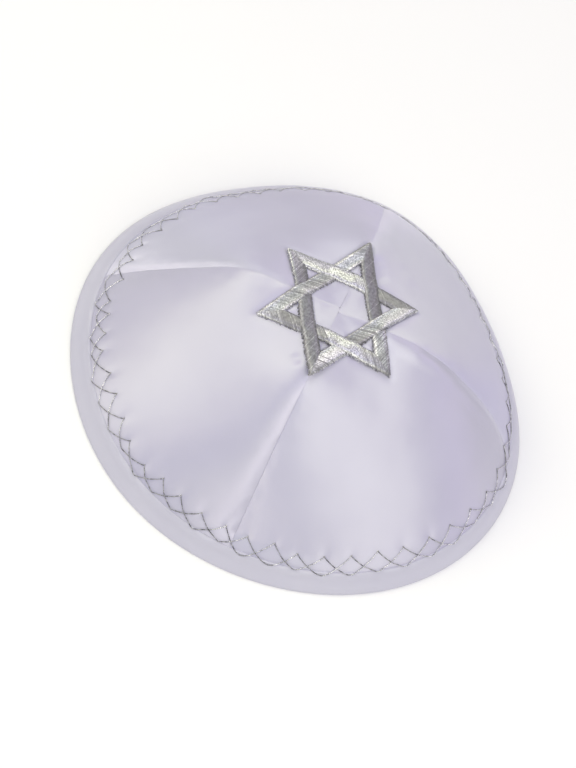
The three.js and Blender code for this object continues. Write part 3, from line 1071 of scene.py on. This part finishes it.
def wound_plies(line, places):
    """Two plies that wind round a line."""
    along = np.gradient(line, axis=0)
    along /= np.linalg.norm(along, axis=1, keepdims=True)
    outward = line - np.array([CROWN[0], CROWN[1], 0])
    side = np.cross(along, outward)
    side /= np.linalg.norm(side, axis=1, keepdims=True)
    up = np.cross(side, along)
    plies = []
    for start in (0, math.pi):
        turn = (FULL_TURN * places / TWIST_PITCH + start)[:, None]
        plies.append(line + PLY_OFFSET * (np.cos(turn) * side + np.sin(turn) * up))
    return plies


def runs_by_way(line):
    """Stretches of a line with a painted highlight (finish 0), where they run more the lit way or lie on the
    far side, or with a painted shade (finish 1), where they run more the shaded way on the near side.
    """
    along = np.gradient(line[:, :2], axis=0)
    lit = np.abs(along @ [math.cos(LIT_WAY), math.sin(LIT_WAY)])
    shaded = np.abs(along @ [math.cos(SHADED_WAY), math.sin(SHADED_WAY)])
    finish = ((shaded > lit) & (line[:, 1] < FAR_SIDE)).astype(int)
    ends = np.flatnonzero(np.diff(finish)) + 1
    starts = np.concatenate([[0], ends])
    ends = np.concatenate([ends, [len(line) - 1]])
    return [(a, b + 1, int(finish[a])) for a, b in zip(starts, ends)]


def build_zigzag(name, first):
    azimuth, climb, extra = zigzag_line(first)
    azimuth, climb, extra = (np.append(a, a[0]) for a in (azimuth, climb, extra))
    lift = skin_lift(azimuth, climb) + extra + PLY_RADIUS + PLY_OFFSET
    line, places = evenly(wall_point(azimuth, climb, lift), PLY_STEP)
    line = relaxed(line, CORNER_SOFTENING)
    plies = wound_plies(line, places)
    strands = [(ply[a:b], finish) for a, b, finish in runs_by_way(line) if b - a > 1 for ply in plies]
    piece = add_strands(name, strands, PLY_RADIUS, 0, ZIGZAG_THREADS)
    faces = len(piece.data.polygons)
    print(f"{name}: {places[-1]:.0f} mm of thread in {len(strands)} stretches, {faces} faces")


build_zigzag("hem_thread_first", 0)
build_zigzag("hem_thread_second", 1)

# %% [markdown]
# ## The star
#
# A satin-stitch bar is a pad of underlay with threads laid side by side over it, all at the same slant.
# The pad is a strip of slab bent over the crown. Each thread dives into the cloth at the bar's outer edge,
# climbs over the pad and dives in at the other edge, or at the mitre where two bars meet.

# %% Build the star
PAD_HEIGHT = 0.72
PAD_ROUNDNESS = 0.35
PAD_FOOT = -0.3  # the pad's underside lies below the cloth
PAD_COLUMNS = 60
PAD_ROWS = 8
STITCH_PITCH = 0.36
STITCH_RADIUS = 0.2
STITCH_HEIGHT = 0.95
STITCH_SLANT = -0.9  # how far a stitch runs along its bar for each millimetre across it
STITCH_SPREAD = 0.25  # how far the stitches reach past the padding
STITCH_RAGGED = 0.25
STITCH_DRIFT = 0.06
STITCH_UNEVEN = 0.05
STITCH_POINTS = 10
SHORTEST_STITCH = 0.12
MITRE_OVERLAP = 0.1
BEDDED = (-0.1, 0.3)  # heights between which a stitch takes up its bar's rise
COVER_REACH = 6.0  # how far from the crossing a bar is hidden by its neighbour
COVER_MARGIN = 0.5
TONE_SPREAD = (0.07, 0.45)  # for plain stretches, and more for mixed ones
# a stitch's tone picks its finish: painted highlight, painted half shade or painted shade
TONE_BRIGHT = 0.55
TONE_GREY = 0.27
STITCH_PROFILE = {
    # shares of a bar's width, and of a stitch's height
    "across": (-0.10, -0.05, 0.03, 0.12, 0.30, 0.50, 0.70, 0.88, 0.97, 1.05, 1.10),
    "height": (-0.30, 0.28, 0.72, 0.90, 0.98, 1.00, 0.98, 0.90, 0.72, 0.28, -0.30),
}
BAR_TONES = (
    # places along each bar, from its first tip to its second, and the share of painted highlight there
    ((0, 0.10, 0.16, 0.28, 0.40, 0.58, 0.75, 0.9, 1), (0.15, 0.25, 0.85, 0.8, 0.25, 0.30, 0.45, 0.6, 0.6)),
    ((0, 0.10, 0.20, 0.33, 0.6, 0.85, 1), (0.7, 0.5, 0.2, 0.1, 0.08, 0.15, 0.35)),
    ((0, 0.10, 0.18, 0.36, 0.46, 0.55, 0.72, 0.82, 1), (0.6, 0.5, 0.1, 0.1, 0.35, 0.75, 0.8, 0.45, 0.1)),
    ((0, 0.10, 0.18, 0.30, 0.42, 0.55, 0.66, 0.88, 1), (0.3, 0.4, 0.75, 0.8, 0.2, 0.25, 0.7, 0.85, 0.5)),
    ((0, 0.12, 0.26, 0.36, 0.6, 0.9, 1), (0.1, 0.4, 0.6, 0.1, 0.06, 0.1, 0.15)),
    ((0, 0.12, 0.30, 0.40, 0.55, 0.75, 1), (0.25, 0.1, 0.08, 0.65, 0.8, 0.95, 0.75)),
)


def crown_point(flat, lift):
    """A point over the crown, from its place in plan and its height over the cloth."""
    azimuth = np.arctan2(flat[..., 1], flat[..., 0])
    reach = np.maximum(np.linalg.norm(flat, axis=-1) / foot_radius(azimuth), LEAST_REACH)
    point = face_point(azimuth, reach)
    point[..., 2] += lift
    return point


def weave_rise(along):
    """Bars stand higher where they pass over a neighbour, and lower where they pass under one."""
    over = np.minimum(np.abs(along - 2 * BAR_LENGTH / 3) / STAR_RISE_REACH, 1)
    under = np.minimum(np.abs(along - BAR_LENGTH / 3) / STAR_RISE_REACH, 1)
    return STAR_RISE * (1 + np.cos(np.pi * over)) / 2 - STAR_DROP * (1 + np.cos(np.pi * under)) / 2


def bar_place(k, along, across):
    start, direction, inward = bar_axes(k)
    along, across = np.asarray(along, float)[..., None], np.asarray(across, float)[..., None]
    return start + direction * along + inward * across


def build_pads():
    bm = bmesh.new()
    for k in range(6):
        pad = flat_slab(PAD_COLUMNS, PAD_ROWS)
        grid = corners_of(pad)
        across = grid[:, 1] * STAR_BAR
        room = BAR_LENGTH - 2 * across * MITRE
        along = across * MITRE + grid[:, 0] * room
        hump = PAD_HEIGHT * np.sin(np.pi * grid[:, 1]) ** PAD_ROUNDNESS
        lift = np.where(grid[:, 2] > -0.5, hump + weave_rise(along), PAD_FOOT)
        move_corners(pad, crown_point(bar_place(k, along, across), lift))
        finish_mesh(pad)
        mesh = bpy.data.meshes.new("pad")
        pad.to_mesh(mesh)
        pad.free()
        bm.from_mesh(mesh)
        bpy.data.meshes.remove(mesh)
    piece = add_piece("star_padding", bm, PAINTED_HALF_SHADE_THREAD)
    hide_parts("star_embroidery")


def under_neighbour(k, along, across):
    """Whether the middle of a stitch is hidden by the bar that passes over bar k."""
    covered = across_bar(bar_place(k, along, across), (k - 1) % 6)
    return abs(along - BAR_LENGTH / 3) < COVER_REACH and COVER_MARGIN < covered < STAR_BAR - COVER_MARGIN


def build_stitches():
    rng = random.Random(6)
    strands = []
    count = int(BAR_LENGTH / STITCH_PITCH)
    for k in range(6):
        for n in range(1, count):
            start = BAR_LENGTH * n / count
            room = min(STAR_BAR, start / (MITRE - STITCH_SLANT), (BAR_LENGTH - start) / (MITRE + STITCH_SLANT))
            middle = start + STITCH_SLANT * room / 2
            if room < SHORTEST_STITCH or under_neighbour(k, middle, room / 2):
                continue
            ragged = [STITCH_SPREAD + rng.uniform(-STITCH_RAGGED, STITCH_RAGGED) for _ in range(2)]
            past_end = ragged[1] if room == STAR_BAR else MITRE_OVERLAP
            spacing = (1 - np.cos(np.linspace(0, np.pi, STITCH_POINTS))) / 2  # closer at both ends
            across = -ragged[0] + spacing * (room + past_end + ragged[0])
            heights = np.interp(across / STAR_BAR, STITCH_PROFILE["across"], STITCH_PROFILE["height"])
            along = start + STITCH_SLANT * across + rng.uniform(-STITCH_DRIFT, STITCH_DRIFT)
            lift = heights * STITCH_HEIGHT + weave_rise(along) * smooth_step(*BEDDED, heights)
            lift = lift + rng.uniform(-STITCH_UNEVEN, STITCH_UNEVEN)
            tone = float(np.interp(middle / BAR_LENGTH, *BAR_TONES[k]))
            tone += rng.gauss(0, TONE_SPREAD[0] + TONE_SPREAD[1] * tone * (1 - tone))
            # finish 0 is the painted highlight, 1 the painted half shade and 2 the painted shade
            finish = 0 if tone > TONE_BRIGHT else 1 if tone > TONE_GREY else 2
            strands.append((crown_point(bar_place(k, along, across), lift), finish))
    piece = add_strands("star_stitches", strands, STITCH_RADIUS, 1, STAR_THREADS)
    print(f"star: {len(strands)} stitches, {len(piece.data.polygons)} faces")


build_pads()
build_stitches()

# %% [markdown]
# ## The cut of the cloth
#
# Each panel was cut flat before it was sewn. Its pattern is about as wide as a quarter of the rim and as
# long as the way from crown to rim, with curved sides. Each panel's area is printed as it is built.

# %% [markdown]
# ## Floor and light
#
# The cap lies on a plain pale floor. A ring of softboxes lights it from half way up, strongest at the left
# and at the right of the front, where they make the long highlights on the satin. Four more hang higher.
# The cooler ones give the shaded cloth its lavender, and the pale surroundings fill in the rest.

# %% Floor
FLOOR_HALF = 3.0
FLOOR_PATCH = 0.4


def build_floor():
    bm = bmesh.new()
    bmesh.ops.create_grid(bm, x_segments=8, y_segments=8, size=FLOOR_HALF)
    mesh = bpy.data.meshes.new("floor")
    bm.to_mesh(mesh)
    bm.free()
    material, tree, shader = new_finish("pale paper", Roughness=0.9)
    colour_in_patches(tree, shader, FLOOR_PATCH, (0.97, 0.97, 0.97), (0.96, 0.96, 0.96))
    mesh.materials.append(material)
    floor = bpy.data.objects.new("floor", mesh)
    bpy.context.scene.collection.objects.link(floor)
    floor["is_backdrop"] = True


build_floor()

# %% Light
SOFTBOX_SIZE = 0.5
SOFTBOX_DISTANCE = 1.2
SOFTBOXES = (
    # azimuth, elevation, power, colour
    (180.0, 45.0, 2.85, (1.00, 0.97, 0.72)),
    (210.0, 45.0, 1.49, (1.00, 0.92, 0.80)),
    (240.0, 45.0, 0.36, (0.56, 0.53, 1.00)),
    (300.0, 45.0, 1.68, (1.00, 0.95, 0.78)),
    (330.0, 45.0, 2.57, (1.00, 0.98, 0.85)),
    (0.0, 45.0, 0.28, (0.22, 0.15, 1.00)),
    (30.0, 45.0, 0.88, (0.56, 0.39, 1.00)),
    (60.0, 45.0, 0.73, (1.00, 0.85, 0.73)),
    (120.0, 45.0, 1.12, (0.79, 0.67, 1.00)),
    (120.0, 65.0, 0.42, (0.57, 1.00, 0.10)),
    (180.0, 65.0, 0.77, (0.87, 0.97, 1.00)),
    (240.0, 65.0, 0.40, (0.10, 0.10, 1.00)),
    (300.0, 65.0, 1.34, (0.94, 1.00, 0.89)),
)
WORLD_STRENGTH = 0.42


def add_softbox(azimuth, elevation, power, colour):
    a, e = math.radians(azimuth), math.radians(elevation)
    place = SOFTBOX_DISTANCE * Vector((math.cos(a) * math.cos(e), math.sin(a) * math.cos(e), math.sin(e)))
    name = f"softbox_{azimuth:.0f}_{elevation:.0f}"
    data = bpy.data.lights.new(name, "AREA")
    data.shape = "SQUARE"
    data.size = SOFTBOX_SIZE
    data.energy = power
    data.color = colour
    light = bpy.data.objects.new(name, data)
    light.location = place
    light.rotation_euler = (-place).to_track_quat("-Z", "Y").to_euler()
    bpy.context.scene.collection.objects.link(light)


for row in SOFTBOXES:
    add_softbox(*row)
world = bpy.data.worlds.new("pale studio")
world.use_nodes = True
world.node_tree.nodes["Background"].inputs["Color"].default_value = (1, 1, 1, 1)
world.node_tree.nodes["Background"].inputs["Strength"].default_value = WORLD_STRENGTH
bpy.context.scene.world = world
bpy.context.scene.view_settings.view_transform = "Standard"

# %% [markdown]
# ## The size of the dressed cap
#
# The dressed cap has to stay in the box of its solids, so both boxes are printed.

# %% Finish
dressed_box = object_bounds()
for name, (low, high) in (("solids", solid_box), ("dressed", dressed_box)):
    print(name, "mm:", [round(x / MM, 1) for x in (*low, *high)])
